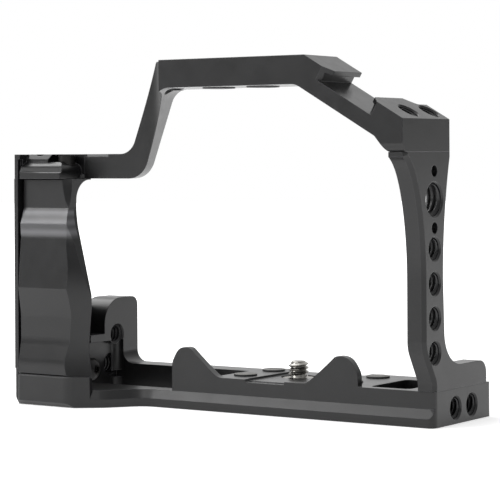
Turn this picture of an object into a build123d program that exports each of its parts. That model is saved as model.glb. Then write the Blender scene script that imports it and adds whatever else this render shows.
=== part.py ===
from build123d import *
import os
from math import atan, cos, degrees, radians, sin, tan

os.makedirs("parts", exist_ok=True)

# Camera cage: a machined aluminium frame that a small camera is screwed into.
# Working axes: x = 0 on the lens axis, y = 0 on the front edge of the base, z = 0 under the base.
# +x is the cage's right side as seen from its front, and the front looks along -y.
# Every finished piece is shifted at the end, so that the origin is the bottom centre of the cage.

# ---- Driving sizes, in millimetres ----

# Whole frame
lens_to_right = 59.4            # lens axis to the outer face of the right column
bay_width = 117.4               # camera bay, from the column to the grip
column_thickness = 5.7
grip_width = 18.4
plate_gap = 0.8                 # shadow groove between the grip and its side plate
plate_thickness = 1.4
base_depth = 34.8
seam_chamfer = 0.35             # small edge break that shows each joint as a line

# Threads and fasteners
quarter_radius = 3.175          # 1/4"-20 major radius
three_eighths_radius = 4.7625   # 3/8"-16 major radius
hole_chamfer = 0.45
hole_pitch = 10.0               # grid of the accessory holes
screw_clearance = 0.15          # radial room round every screw
m25_radius, m25_head_radius, m25_head_height = 1.25, 2.25, 2.5
m3_radius, m3_head_radius, m3_head_height = 1.5, 2.75, 3.0
m4_radius, m4_head_radius, m4_head_height = 2.0, 3.65, 2.2
m4_dome_radius, m4_dome_rise = 4.4, 0.3
dowel_radius, dowel_length = 1.0, 6.0

# Base plate
strip_height = 2.6              # upright strip under the bright band
band_height, band_depth = 2.7, 1.4
band_runout = 3.0               # the band stops this far from the right end
land_height = 10.4              # top of the lands, the front wall and the right end
floor_step = 0.6                # the floor by the camera screw lies this much lower
front_wall = 2.5
rear_rail_height = 9.9
rear_rail_depth = 8.3
corner_radius = 2.2
toe_reach = 17.2                # how far the grip foot stands in front of the base
toe_right, toe_round = 1.8, 5.5      # rounded toe, this far right of the grip's inner side
toe_angle = 36.0                # the edge beside the toe slants by this much
knee_x, heel_x = -52.6, -44.6   # where the slanting edge steepens, and where it meets the front
grip_corner_y = -15.8           # the front of the side plate and of the skirt below it
foot_height = 9.75
foot_rear = -1.2
toe_bevel = 1.4                 # bevel under the toe's front edge
heel_bevel_width, heel_bevel_height = 1.6, 2.6    # bevel along the lower left edge
door_front = 7.0                # battery door opening, behind the front rail
door_right = -19.6
door_left_wall = 6.7            # wall between the opening and the side plate
door_radius = 3.0
land_left = (-19.6, -7.6)       # x range of the land under the left pads
land_right = (18.4, 35.4)       # x range of the land under the right pads
pocket_end_wall = 10.4          # solid end that takes the tapped end holes
pocket_floor = 3.4
end_hole_z = 4.7
end_hole_y = 13.3
end_hole_depth = 9.0

# Lens cradles on the front wall
cradle_height = 8.8
cradle_foot_left, cradle_foot_right = 15.8, 13.6
cradle_crest_left, cradle_crest_right = 29.4, 27.0
cradle_outer_left, cradle_outer_right = 34.7, 33.1
lens_relief_width, lens_relief_depth = 14.0, 0.9

# Upright lug at the rear left
lug_thickness = 9.7
lug_height = 31.9
lug_front = 16.5
lug_round = 8.5
lug_shelf = 20.3
lug_shelf_front = 9.0
lug_relief_height, lug_relief_depth = 17.8, 3.0
lug_hole_y, lug_hole_z = 23.2, 9.7

# Camera screw
screw_y = 20.8
screw_reach = 14.8              # tip of the thread above the underside
screw_neck_radius = 2.5
screw_head_radius, screw_head_height = 6.6, 3.0
screw_travel = 1.6              # how far the captive screw drops
screw_web = 2.0                 # plate left between the head and the clip
screw_slot_width, screw_slot_depth = 1.6, 1.4
clip_radius, clip_thickness = 4.9, 0.6
clip_sink = 0.2                 # clip below the floor when the screw is up
running_clearance = 0.08

# Pads
pad_radius, pad_thickness = 3.65, 0.6
bridge_pad_thickness = 0.35
pad_front, pad_rear = 11.4, 27.4
pad_left, pad_right = -13.6, 24.8

# Right column
column_hole_y = 1.1
column_top = 79.6
column_front_mid, column_rear_mid = -5.1, 6.0
column_rear_low = 7.0
column_head_front, column_head_rear = -15.4, 10.3
column_chamfer = 1.15
column_foot_front, column_foot_rear = 0.9, 32.6
column_foot_top = 17.3
column_waist_low, column_waist_high = 23.0, 43.0
quarter_hole_z = 21.65
quarter_hole_count = 4
three_eighths_z = 65.9
pin_hole_radius, pin_hole_offset = 1.7, 8.2

# Top bridge
bridge_top = 108.0
bridge_height = 8.5
bridge_front, bridge_rear = -17.2, 1.0
slope_angle = 30.0
block_top = 89.1
block_width = 7.6
bar_height = 7.75
bar_front = -5.4
end_block_inset = 1.2           # the end block is this much narrower than the grip
wall_slant = 0.34               # the left wall leans this much in x for each mm in y
wall_outer_top, wall_outer_bottom = -30.4, -41.2
wall_inner_top, wall_inner_bottom = -26.1, -36.6
cove_x, cove_radius = -25.6, 17.0
ramp_back, ramp_end_drop = 3.0, 4.9   # the ramp under the slope: its start and its end
nose_front = -15.6
nose_drop = 2.5                 # the nose of the end block lies this much below its top
stop_screw_back = 2.26          # the stop screw stands this far left of the crest
stop_screw_y, stop_screw_radius = -6.6, 1.0
stop_screw_length, stop_screw_sink = 4.0, 0.4
bridge_pad_spacing, bridge_pad_shift = 16.0, 0.4
bridge_pad_radius, bridge_pad_y = 5.0, -8.0
bridge_hole_x, bridge_hole_y = -25.9, -8.5
block_hole_y, block_hole_pitch = -6.4, 12.0
block_hole_x, block_hole_depth = 55.3, 6.0

# Cold shoe on the slope
shoe_start = 8.4                # crest to the slot, along the slope
shoe_width = 18.8
shoe_gap = 15.4
shoe_depth = 4.3
shoe_lip = 1.5
shoe_lead = 1.8                 # cut corners that lead an accessory in

# Hand grip
grip_front = -16.6
grip_recess_depth, grip_recess_z = 2.9, 62.6   # the set-back head of the grip
grip_swell_depth, grip_swell_z = 1.1, 57.4
grip_step_depth, grip_step_z = 1.4, 53.4
grip_ridge_z = 37.2
grip_valley_depth, grip_valley_z = 1.2, 25.5
grip_flare = 7.5                # how far the lower grip flares to the right
grip_flare_high, grip_flare_low = 59.0, 35.3   # heights between which it flares
grip_back_high, grip_back_low = -9.8, -11.7    # back of the flare at those heights
grip_back = -1.7                # back of the grip's outer part
grip_back_turn = 6.6            # the back's slanting corner, across
grip_gusset = 6.6               # round under the bar
grip_wave = [                   # height as a share of the grip's, then the finger face beside the inner side
    (0.0, -0.3), (0.24, -1.25), (0.44, -0.25), (0.58, -1.3), (0.71, -2.9),
    (0.805, -2.6), (0.853, -5.4), (0.918, -7.2), (1.0, -7.9),
]

# ---- Places worked out from the sizes above ----

x_right = lens_to_right
x_column = x_right - column_thickness
x_grip_in = x_column - bay_width
x_grip_out = x_grip_in - grip_width
x_plate_in = x_grip_out - plate_gap
x_block_in = x_grip_in - end_block_inset
x_left = x_plate_in - plate_thickness
toe_x = x_grip_in + toe_right
toe_slope = tan(radians(toe_angle))
x_flare = x_grip_in + grip_flare
bar_bottom = column_top - bar_height
underside = bridge_top - bridge_height
slope = tan(radians(slope_angle))
crest_x = x_right - (bridge_top - block_top) / slope
ramp_x = crest_x - ramp_back
stop_screw_x = crest_x - stop_screw_back
bridge_pad_middle = (wall_inner_top + ramp_x) / 2 - bridge_pad_shift
rear_rail_front = base_depth - rear_rail_depth
band_top = strip_height + band_height
wall_rear = band_depth + front_wall
lug_in = x_plate_in + lug_thickness
door_left = x_plate_in + door_left_wall
floor_height = land_height - floor_step
far = 200.0                     # longer than the cage, for cutters that run right through

CENTRE_MIN = (Align.CENTER, Align.CENTER, Align.MIN)


def outline(corners):
    """Closed face through corners (u, v) or (u, v, radius), each rounded where it has a radius."""
    points = [Vector(corner[0], corner[1]) for corner in corners]
    radii = [corner[2] if len(corner) > 2 else 0.0 for corner in corners]
    edges, starts, ends = [], [], []
    for i, here in enumerate(points):
        if radii[i] == 0.0:
            starts.append(here)
            ends.append(here)
            continue
        before = (points[i - 1] - here).normalized()
        after = (points[(i + 1) % len(points)] - here).normalized()
        half = radians(before.get_angle(after)) / 2
        reach = radii[i] / tan(half)
        middle = here + (before + after).normalized() * (radii[i] / sin(half) - radii[i])
        starts.append(here + before * reach)
        ends.append(here + after * reach)
        edges.append(ThreePointArc(starts[i], middle, ends[i]))
    for i, end in enumerate(ends):
        start = starts[(i + 1) % len(points)]
        if (start - end).length > 1e-6:
            edges.append(Line(end, start))
    return make_face(edges)


def front_shape(face, y_front, y_rear):
    """A face drawn in (x, z), made solid from y_front back to y_rear."""
    plane = Plane(origin=(0, y_rear, 0), x_dir=(1, 0, 0), z_dir=(0, -1, 0))
    return extrude(plane * face, y_rear - y_front)


def side_shape(face, x_low, x_high):
    """A face drawn in (y, z), made solid from x_low to x_high."""
    plane = Plane(origin=(x_low, 0, 0), x_dir=(0, 1, 0), z_dir=(1, 0, 0))
    return extrude(plane * face, x_high - x_low)


def plan_shape(face, z_low, z_high):
    """A face drawn in (x, y), made solid from z_low to z_high."""
    return extrude(Plane.XY.offset(z_low) * face, z_high - z_low)


def block(x_low, x_high, y_low, y_high, z_low, z_high):
    """A plain box between two corners."""
    size = (x_high - x_low, y_high - y_low, z_high - z_low)
    return Pos(x_low, y_low, z_low) * Box(*size, align=(Align.MIN, Align.MIN, Align.MIN))


def rod(radius, length, start, axis):
    """A cylinder of the given length from a start point along an axis."""
    return Plane(origin=start, z_dir=axis) * Cylinder(radius, length, align=CENTRE_MIN)


def tapped_hole(radius, length, start, axis, open_end=False):
    """Cutter for a tapped hole with a chamfered mouth at start, and at its far end if it is open."""
    plane = Plane(origin=start, z_dir=axis)
    mouth = Cone(radius + hole_chamfer, radius, hole_chamfer, align=CENTRE_MIN)
    cutter = Cylinder(radius, length, align=CENTRE_MIN) + mouth
    if open_end:
        cutter += Pos(0, 0, length) * Rot(180, 0, 0) * mouth
    return plane * cutter


def cap_screw(radius, length, head_radius, head_height, seat, axis):
    """Cylinder-head screw with a hexagon socket; seat is under its head, and axis points to its tip."""
    socket = extrude(RegularPolygon(0.5 * head_radius, 6), 0.6 * head_height)
    head = Cylinder(head_radius, head_height, align=CENTRE_MIN) - socket
    shank = Pos(0, 0, head_height) * Cylinder(radius, length, align=CENTRE_MIN)
    plane = Plane(origin=seat, z_dir=axis)
    return plane * (Pos(0, 0, -head_height) * (head + shank))


def screw_room(radius, length, head_radius, head_height, seat, axis, tap_length=0.0):
    """Cutter for a cap screw: counterbore out to the surface, clearance hole, then the tapped end."""
    plane = Plane(origin=seat, z_dir=axis)
    sunk = Cylinder(head_radius + screw_clearance, head_height, align=CENTRE_MIN)
    cutter = Pos(0, 0, -head_height) * sunk
    cutter += Cylinder(radius + screw_clearance, length - tap_length, align=CENTRE_MIN)
    if tap_length:
        cutter += Cylinder(radius, length, align=CENTRE_MIN)
    return plane * cutter


# ---- Fastener places shared by the pieces that they join ----

column_screw_x = x_right - column_thickness / 2
column_screw_rows = (6.4, base_depth - 4.6)
column_screw_seat = 3.0
column_screw_length = 12.5
grip_middle_x = (x_grip_in + x_grip_out) / 2
grip_screw_columns = (grip_middle_x - 4.4, grip_middle_x + 4.4)
grip_screw_y = -8.6
foot_screw_seat = 4.4
foot_screw_length = 16.0
head_screw_seat = column_top - m3_head_height - 0.4
head_screw_length = 12.0
grip_dowel_y = -12.4
tenon_width, tenon_height, tenon_fit = 3.0, 5.6, 0.05
tenon_front, tenon_rear = column_head_front + 3.0, column_head_rear - 3.0
grub_drop = 0.2                 # grub screws below the tenon's middle
grub_rows = (column_head_front + 5.0, column_head_rear - 5.6)
grub_z = column_top + tenon_height / 2 - grub_drop
grub_start = x_column - 0.7
grub_length = 4.6
plate_screw_heights = (24.0, 42.0, 60.0)
plate_screw_y = -8.0
plate_screw_length = 7.0
lug_screw_y, lug_screw_z = lug_hole_y - hole_pitch, 8.8


# ---- Base plate ----

def base_outline(corner=corner_radius):
    """Plan of the base: straight front, slanting edge to the grip foot, square rear."""
    return outline([
        (x_right, 0.0, corner),
        (x_right, base_depth, 0.5),
        (x_left, base_depth, 1.5),
        (x_left, grip_corner_y, 0.6),
        (x_grip_out - 0.1, grip_corner_y),
        (x_grip_out, -toe_reach, 0.8),
        (toe_x, -toe_reach, toe_round),
        (knee_x, slant_y(knee_x), 10.0),
        (heel_x, 0.0, 8.0),
    ])


def slant_y(x):
    """The slanting edge beside the toe, at x."""
    return -toe_reach + (x - toe_x) * toe_slope


def banded_slab():
    """Lower layer of the base, with the bright bevelled band along its front edge."""
    slab = plan_shape(base_outline(), 0.0, band_top)
    # The band is the sloping front of a wider copy, whose other sides lie outside the slab.
    wide = outline([
        (x_right + far, 0.0),
        (x_right + far, base_depth + far),
        (x_left - far, base_depth + far),
        (x_left - far, -toe_reach),
        (toe_x, -toe_reach, toe_round),
        (knee_x, slant_y(knee_x), 10.0),
        (heel_x, 0.0, 8.0),
    ])
    taper = degrees(atan(band_depth / band_height))
    sloped = extrude(Plane.XY.offset(strip_height) * wide, band_height, taper=taper)
    end_block = block(x_right - band_runout, x_right, -toe_reach, base_depth, 0.0, band_top)
    cut_end = rod(band_runout + band_depth, band_height, (x_right - band_runout, -band_runout, strip_height), (0, 0, 1))
    lower = block(x_left, x_right, -toe_reach, base_depth, 0.0, strip_height)
    foot_end = block(x_left, x_flare, -toe_reach, base_depth, 0.0, band_top)
    keep = lower + sloped + (end_block - cut_end) + foot_end
    return slab & keep


def cradle(side, foot, crest, outer):
    """One hump of the front wall: an S-curve on its lens side, steep on its outer side."""
    low, top = land_height - 1.0, land_height + cradle_height
    inner = [(foot + u * (crest - foot), land_height + v * cradle_height)
             for u, v in ((0.0, 0.0), (0.24, 0.15), (0.6, 0.6), (0.8, 0.87), (1.0, 1.0))]
    steep = [(crest + u * (outer - crest), land_height + v * cradle_height)
             for u, v in ((0.0, 1.0), (0.55, 0.88), (0.87, 0.58), (1.0, 0.2))]
    edge = [
        Spline(*[(side * x, z) for x, z in inner], tangents=((side, 0.0), (side, 0.0))),
        Spline(*[(side * x, z) for x, z in steep], tangents=((side, 0.0), (0.0, -1.0))),
        Line((side * outer, steep[-1][1]), (side * outer, low)),
        Line((side * outer, low), (side * foot, low)),
        Line((side * foot, low), (side * foot, land_height)),
    ]
    return front_shape(make_face(edge), band_depth, wall_rear)


def lug():
    """Upright lug at the rear left, with its rounded top and the lower shelf in front of it."""
    side = outline([
        (base_depth - 0.4, rear_rail_height - 1.0),
        (base_depth - 0.4, lug_height, 3.0),
        (lug_front, lug_height, lug_round),
        (lug_front, lug_shelf),
        (lug_shelf_front, lug_shelf, 1.0),
        (lug_shelf_front, rear_rail_height - 5.0),
    ])
    return side_shape(side, x_plate_in, lug_in)


def build_base():
    body = banded_slab()
    body += block(door_right, x_right, band_depth, base_depth, band_top, land_height)
    body += block(-cradle_outer_left, door_right, band_depth, wall_rear, band_top, land_height)
    body += block(x_plate_in, door_right, rear_rail_front, base_depth, band_top, rear_rail_height)
    body += block(x_plate_in, door_left, grip_corner_y + 4, base_depth, band_top, foot_height)
    body += grip_foot()
    skirt = block(x_left, x_plate_in, grip_corner_y, plate_step_y, strip_height, plate_skirt)
    body += skirt
    body += cradle(-1, cradle_foot_left, cradle_crest_left, cradle_outer_left)
    body += cradle(1, cradle_foot_right, cradle_crest_right, cradle_outer_right)
    body += lug()
    body += lug_foot_fillet()
    body &= plan_shape(base_outline(), 0.0, far)
    body -= toe_bevels()
    # Battery door opening, and the relief that the same cutter leaves in the lug.
    door = outline([
        (door_left, door_front, door_radius),
        (door_right, door_front, door_radius),
        (door_right, rear_rail_front, door_radius),
        (door_left, rear_rail_front, door_radius),
    ])
    body -= plan_shape(door, -1.0, lug_relief_height)
    # Recess for the side plate in the outer wall.
    body -= block(x_left - 1, x_plate_in, plate_step_y, base_depth + 1, plate_low, far)
    # Lowered floor round the camera screw, and the pocket beside the right land.
    body -= block(land_left[1], land_right[0], wall_rear, base_depth + 1, floor_height, far)
    pocket = outline([
        (land_right[1], wall_rear + 0.4, 2.0),
        (x_right - pocket_end_wall, wall_rear + 0.4, 2.0),
        (x_right - pocket_end_wall, rear_rail_front, 2.0),
        (land_right[1], rear_rail_front, 2.0),
    ])
    body -= plan_shape(pocket, pocket_floor, far)
    relief = outline([
        (-lens_relief_width / 2 - 0.5, land_height + 1),
        (-lens_relief_width / 2, land_height - lens_relief_depth, 0.4),
        (lens_relief_width / 2, land_height - lens_relief_depth, 0.4),
        (lens_relief_width / 2 + 0.5, land_height + 1),
    ])
    body -= front_shape(relief, -1.0, wall_rear)
    # Camera screw: head recess below, web, clip recess above.
    body -= rod(screw_head_radius + 0.4, web_low, (0, screw_y, 0), (0, 0, 1))
    body -= rod(quarter_radius + running_clearance, far, (0, screw_y, 0), (0, 0, 1))
    body -= rod(clip_radius + 0.7, far, (0, screw_y, web_high), (0, 0, 1))
    # Tapped holes.
    for y in (end_hole_y, end_hole_y + hole_pitch):
        body -= tapped_hole(quarter_radius, end_hole_depth, (x_right, y, end_hole_z), (-1, 0, 0))
    for z, wall_face in ((lug_hole_z, door_left), (lug_hole_z + hole_pitch, lug_in)):
        length = wall_face - x_plate_in
        body -= tapped_hole(quarter_radius, length, (wall_face, lug_hole_y, z), (-1, 0, 0))
    # Screws that come up from below, and the button screw in the lug's wall.
    for y in column_screw_rows:
        body -= screw_room(m25_radius, land_height, m25_head_radius, column_screw_seat,
                           (column_screw_x, y, column_screw_seat), (0, 0, 1))
    for x in grip_screw_columns:
        body -= screw_room(m3_radius, foot_height, m3_head_radius, foot_screw_seat,
                           (x, grip_screw_y, foot_screw_seat), (0, 0, 1))
        body -= rod(dowel_radius, dowel_length / 2, (x, grip_dowel_y, foot_height), (0, 0, -1))
    body -= rod(m4_radius + screw_clearance, door_left_wall, (door_left, lug_screw_y, lug_screw_z), (-1, 0, 0))
    return body


def grip_foot():
    """Raised foot that the grip stands on, with a small bevel round its top."""
    foot = outline([
        (x_grip_out, -toe_reach, 0.8),
        (toe_x, -toe_reach, toe_round),
        (x_flare, slant_y(x_flare), 0.6),
        (x_flare, grip_back_low),
        (x_grip_in - grip_back_turn + 0.6, foot_rear),
        (x_grip_out, foot_rear),
    ])
    solid = plan_shape(foot, strip_height, foot_height)
    rim = solid.edges().filter_by_position(Axis.Z, foot_height - 0.01, foot_height + 0.01)
    return chamfer(rim, seam_chamfer)


def toe_bevels():
    """Cutters for the bevels under the toe and along the lower left edge, and the groove beside the foot."""
    under = outline([
        (-toe_reach - 1, toe_bevel + 1),
        (-toe_reach - 1, -1.0),
        (-toe_reach + toe_bevel + 1, -1.0),
    ])
    ratio = heel_bevel_width / heel_bevel_height
    left = outline([
        (x_left - ratio, heel_bevel_height + 1),
        (x_left - ratio, -1.0),
        (x_left + heel_bevel_width + ratio, -1.0),
    ])
    groove = block(x_plate_in, x_grip_out, -toe_reach - 1, grip_corner_y + 2.0, heel_bevel_height, foot_height + 1)
    return side_shape(under, x_left - 1, knee_x) + front_shape(left, -far, far) + groove


def lug_foot_fillet():
    """Hollow fillet between the lug's inner face and the top of the rear rail."""
    radius = 4.0
    corner = outline([
        (lug_in, rear_rail_height - 1),
        (lug_in + radius, rear_rail_height - 1),
        (lug_in + radius, rear_rail_height + radius),
        (lug_in, rear_rail_height + radius),
    ])
    hollow = Pos(lug_in + radius, rear_rail_height + radius) * Circle(radius)
    return front_shape(corner - hollow, rear_rail_front, base_depth - 0.4)


# ---- Side plate places, used by the base and the plate ----

plate_skirt = 11.3              # top of the base's outer skirt, where the plate begins
plate_low = 3.5                 # lower edge of the plate behind the skirt
plate_step_y = -6.0
plate_front_y = grip_corner_y
plate_rear_low = 20.0
plate_rear_high = -2.0
plate_bend_low, plate_bend_high = 30.0, 60.0
web_high = floor_height - clip_sink - clip_thickness - screw_travel
web_low = web_high - screw_web


def build_side_plate():
    face = outline([
        (plate_front_y, plate_skirt),
        (plate_step_y, plate_skirt),
        (plate_step_y, plate_low, 0.8),
        (plate_rear_low, plate_low, 2.0),
        (plate_rear_low, plate_bend_low, 8.0),
        (plate_rear_high, plate_bend_high, 8.0),
        (plate_rear_high, bar_bottom),
        (plate_front_y, bar_bottom),
    ])
    plate = side_shape(face, x_left, x_plate_in)
    for z in plate_screw_heights:
        plate -= rod(m3_radius + screw_clearance, plate_thickness, (x_left, plate_screw_y, z), (1, 0, 0))
        sink = Cone(m3_head_radius, m3_radius + screw_clearance, plate_thickness - 0.1, align=CENTRE_MIN)
        plate -= Plane(origin=(x_left, plate_screw_y, z), z_dir=(1, 0, 0)) * sink
    plate -= rod(m4_radius, plate_thickness, (x_left, lug_screw_y, lug_screw_z), (1, 0, 0))
    return plate


# ---- Hand grip ----

def grip_profile(back):
    """Side view of the grip in (y, z), between its wavy front and the points given for its back."""
    recess = grip_front + grip_recess_depth
    swell = grip_front + grip_swell_depth
    step = grip_front + grip_step_depth
    valley = grip_front + grip_valley_depth
    return outline([
        (grip_front + seam_chamfer, foot_height),
        (grip_front, foot_height + seam_chamfer),
        (grip_front, foot_height + 4.0, 12.0),
        (valley, grip_valley_z - 5.0, 14.0),
        (valley, grip_valley_z + 3.5, 14.0),
        (grip_front, grip_ridge_z, 0.8),
        (step, grip_step_z, 0.6),
        (swell, grip_swell_z, 3.0),
        (recess, grip_recess_z, 0.6),
        (recess, bar_bottom - seam_chamfer),
        (recess + seam_chamfer, bar_bottom),
        *back,
    ])


def finger_face_room():
    """Solid left of the finger face: its wavy edge, carried back along the toe's slant."""
    height = bar_bottom - foot_height
    front = grip_front - 1.0
    wave = [(x_grip_in + reach, foot_height + share * height) for share, reach in grip_wave]
    left = x_grip_out - 30
    face = make_face([
        Line((left, foot_height), wave[0]),
        Spline(*wave),
        Line(wave[-1], (left, bar_bottom)),
        Line((left, bar_bottom), (left, foot_height)),
    ])
    plane = Plane(origin=(0, front, 0), x_dir=(1, 0, 0), z_dir=(0, -1, 0))
    reach = (grip_back - front) / sin(radians(toe_angle))
    return extrude(plane * face, reach, dir=(cos(radians(toe_angle)), sin(radians(toe_angle)), 0))


def grip_flare_part():
    """The grip in front of its flat back, flaring to the right below."""
    back = [
        (grip_back_high, bar_bottom),
        (grip_back_high, grip_flare_high),
        (grip_back_low, grip_flare_low),
        (grip_back_low, foot_height),
    ]
    inner = outline([
        (x_grip_out, foot_height),
        (x_flare, foot_height),
        (x_flare, grip_flare_low, 2.0),
        (x_grip_in, grip_flare_high, 25.0),
        (x_grip_in, bar_bottom),
        (x_grip_out, bar_bottom),
    ])
    return side_shape(grip_profile(back), x_grip_out, x_flare) & front_shape(inner, grip_front - 1, 0.0)


def grip_outer_part():
    """The deeper outer part, which takes the screws, and the gusset under the bar."""
    back = [(grip_back, bar_bottom), (grip_back, foot_height)]
    plan = outline([
        (x_grip_out, grip_front - 1),
        (x_grip_in, grip_front - 1),
        (x_grip_in, grip_back_high),
        (x_grip_in - grip_back_turn, grip_back),
        (x_grip_out, grip_back),
    ])
    gusset = outline([
        (grip_back_high - 1, bar_bottom),
        (grip_back_high - 1, grip_flare_high),
        (grip_back_high, grip_flare_high),
        (grip_back_high, bar_bottom - 0.4, grip_gusset),
        (grip_back - 0.7, bar_bottom - 0.4),
        (grip_back - 0.7, bar_bottom),
    ])
    deep = side_shape(grip_profile(back), x_grip_out, x_grip_in) & plan_shape(plan, foot_height, bar_bottom)
    return deep + side_shape(gusset, x_grip_in - grip_back_turn, x_grip_in)


def build_grip():
    profile = grip_profile([(grip_back, bar_bottom), (grip_back, foot_height)])
    body = (grip_flare_part() + grip_outer_part()) & finger_face_room()
    # The rib behind the shadow groove carries the side plate.
    rib = outline([
        (plate_screw_y - 3.6, foot_height + 4.0),
        (plate_screw_y - 3.6, bar_bottom - 2.0),
        (plate_screw_y + 3.2, bar_bottom - 2.0),
        (plate_screw_y + 3.2, foot_height + 4.0),
    ])
    body += side_shape(rib, x_plate_in, x_grip_out + 1.0) & side_shape(profile, x_plate_in, x_grip_in)
    for z in plate_screw_heights:
        body -= rod(m3_radius, plate_screw_length, (x_plate_in, plate_screw_y, z), (1, 0, 0))
    for x in grip_screw_columns:
        tap = foot_screw_length - (foot_height - foot_screw_seat)
        body -= rod(m3_radius, tap, (x, grip_screw_y, foot_height), (0, 0, 1))
        body -= rod(dowel_radius, dowel_length / 2, (x, grip_dowel_y, foot_height), (0, 0, 1))
        tap = head_screw_length - (head_screw_seat - bar_bottom)
        body -= rod(m3_radius, tap, (x, grip_screw_y, bar_bottom), (0, 0, -1))
    return body


# ---- Right column ----

def build_column():
    rise = column_top - 1.4 - column_waist_high
    reach = column_head_front - column_front_mid
    flare = [(column_front_mid + u * reach, column_waist_high + v * rise)
             for u, v in ((0.0, 0.0), (0.2, 0.55), (0.47, 0.8), (1.0, 1.0))]
    back = column_head_rear - column_rear_mid
    rear_radius = (back**2 + rise**2) / (2 * back)
    bend = atan(rise / (rear_radius - back)) / 2
    rear_middle = (column_rear_mid + rear_radius * (1 - cos(bend)), column_waist_high + rear_radius * sin(bend))
    low = outline([
        (column_foot_front, land_height),
        (column_foot_front, land_height + 2.6, 3.0),
        (column_front_mid, column_waist_low, 8.0),
        (column_front_mid, column_waist_high),
        (column_rear_mid, column_waist_high),
        (column_rear_low, column_foot_top, 10.0),
        (column_foot_rear, column_foot_top, 4.0),
        (column_foot_rear, land_height),
    ])
    high = make_face([
        Line((column_front_mid, column_waist_high), (column_rear_mid, column_waist_high)),
        ThreePointArc((column_rear_mid, column_waist_high), rear_middle, (column_head_rear, column_top - 1.4)),
        Line((column_head_rear, column_top - 1.4), (column_head_rear, column_top)),
        Line((column_head_rear, column_top), (column_head_front, column_top)),
        Line((column_head_front, column_top), (column_head_front, column_top - 1.4)),
        Spline(*flare, tangents=((0.0, 1.0), (-0.85, 0.53))),
    ])
    body = side_shape(low + high, x_column, x_right)
    front_edges = [
        edge for edge in body.edges().filter_by_position(Axis.X, x_right - 0.01, x_right + 0.01)
        if edge.center().Y < column_foot_front + 0.01 and edge.center().Z > land_height + 0.01
        and edge.center().Z < column_top - 0.01
    ]
    body = chamfer(front_edges, column_chamfer)
    tenon = block(column_screw_x - tenon_width / 2, column_screw_x + tenon_width / 2,
                  tenon_front, tenon_rear, column_top, column_top + tenon_height)
    body += tenon
    for z in [quarter_hole_z + hole_pitch * i for i in range(quarter_hole_count)]:
        body -= tapped_hole(quarter_radius, column_thickness, (x_right, column_hole_y, z), (-1, 0, 0), True)
    body -= tapped_hole(three_eighths_radius, column_thickness, (x_right, column_hole_y, three_eighths_z),
                        (-1, 0, 0), True)
    for z in (three_eighths_z - pin_hole_offset, three_eighths_z + pin_hole_offset):
        body -= rod(pin_hole_radius, column_thickness, (x_right, column_hole_y, z), (-1, 0, 0))
    for y in column_screw_rows:
        tap = column_screw_length - (land_height - column_screw_seat)
        body -= rod(m25_radius, tap, (column_screw_x, y, land_height), (0, 0, 1))
    for y in grub_rows:
        tap = grub_start + grub_length - (column_screw_x - tenon_width / 2)
        body -= rod(m3_radius, tap, (column_screw_x - tenon_width / 2, y, grub_z), (1, 0, 0))
    return body


# ---- Top bridge ----

def slope_plane(along, depth=0.0):
    """Plane on the slope at a distance from the crest: x runs down the slope, y to the rear."""
    down = (cos(radians(slope_angle)), 0, -sin(radians(slope_angle)))
    out = (sin(radians(slope_angle)), 0, cos(radians(slope_angle)))
    origin = Vector(crest_x, 0, bridge_top) + Vector(down) * along - Vector(out) * depth
    return Plane(origin=origin, x_dir=down, z_dir=out)


def bridge_outer(lean):
    """Outline of the bridge in (x, z), its left wall shifted by lean."""
    return outline([
        (x_right, column_top),
        (x_right, block_top),
        (crest_x, bridge_top),
        (wall_outer_top + lean, bridge_top, 0.8),
        (wall_outer_bottom + lean, column_top, 6.0),
        (x_left, column_top),
        (x_left, bar_bottom),
        (0.0, bar_bottom),
        (0.0, column_top),
    ])


def bridge_bay(lean):
    """Outline of the camera bay under the bridge in (x, z), its left wall shifted by lean."""
    ramp_end_z = block_top - ramp_end_drop
    ramp_end_x = ramp_x + (underside - ramp_end_z) / slope
    return outline([
        (x_column + 0.3, bar_bottom - 10),
        (x_column + 0.3, column_top),
        (ramp_end_x, ramp_end_z, 2.5),
        (ramp_x, underside, 5.0),
        (wall_inner_top + lean, underside, 6.0),
        (wall_inner_bottom + lean, bar_bottom, 8.0),
        (x_grip_in - 30, bar_bottom),
        (x_grip_in - 30, bar_bottom - 10),
    ])


def between(shape_of, y_front, y_rear):
    """Ruled solid between an outline at the front and the same outline, leaned over, at the rear."""
    faces = []
    for y in (y_front, y_rear):
        plane = Plane(origin=(0, y, 0), x_dir=(1, 0, 0), z_dir=(0, -1, 0))
        faces.append(plane * shape_of(-wall_slant * (y - bridge_front)))
    return loft(faces, ruled=True)


def stop_screw_plane():
    """Plane a little under the crest, where the stop screw ends."""
    return Plane(origin=(stop_screw_x, stop_screw_y, bridge_top - stop_screw_length - stop_screw_sink),
                 z_dir=(0, 0, 1))


def shoe_cutter():
    """Slot of the cold shoe, its throat between the lips, and the lead-in at its front."""
    middle = shoe_start + shoe_width / 2
    depth = bridge_rear - bridge_front
    centre_y = (bridge_rear + bridge_front) / 2
    slot_height = shoe_depth - shoe_lip
    slot = slope_plane(middle, shoe_depth) * Pos(0, centre_y, slot_height / 2) * Box(shoe_width, depth + 1, slot_height)
    throat = slope_plane(middle, shoe_lip) * Pos(0, centre_y, shoe_lip / 2) * Box(shoe_gap, depth + 1, shoe_lip + 1)
    lead = outline([
        (-shoe_width / 2 - 1.2, -depth / 2),
        (-shoe_gap / 2, -depth / 2 + shoe_lead + 1.2),
        (shoe_gap / 2, -depth / 2 + shoe_lead + 1.2),
        (shoe_width / 2 + 1.2, -depth / 2),
    ])
    lead_in = extrude(slope_plane(middle, shoe_depth) * Pos(0, centre_y, 0) * lead, shoe_depth + 1)
    return slot + throat + lead_in


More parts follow.
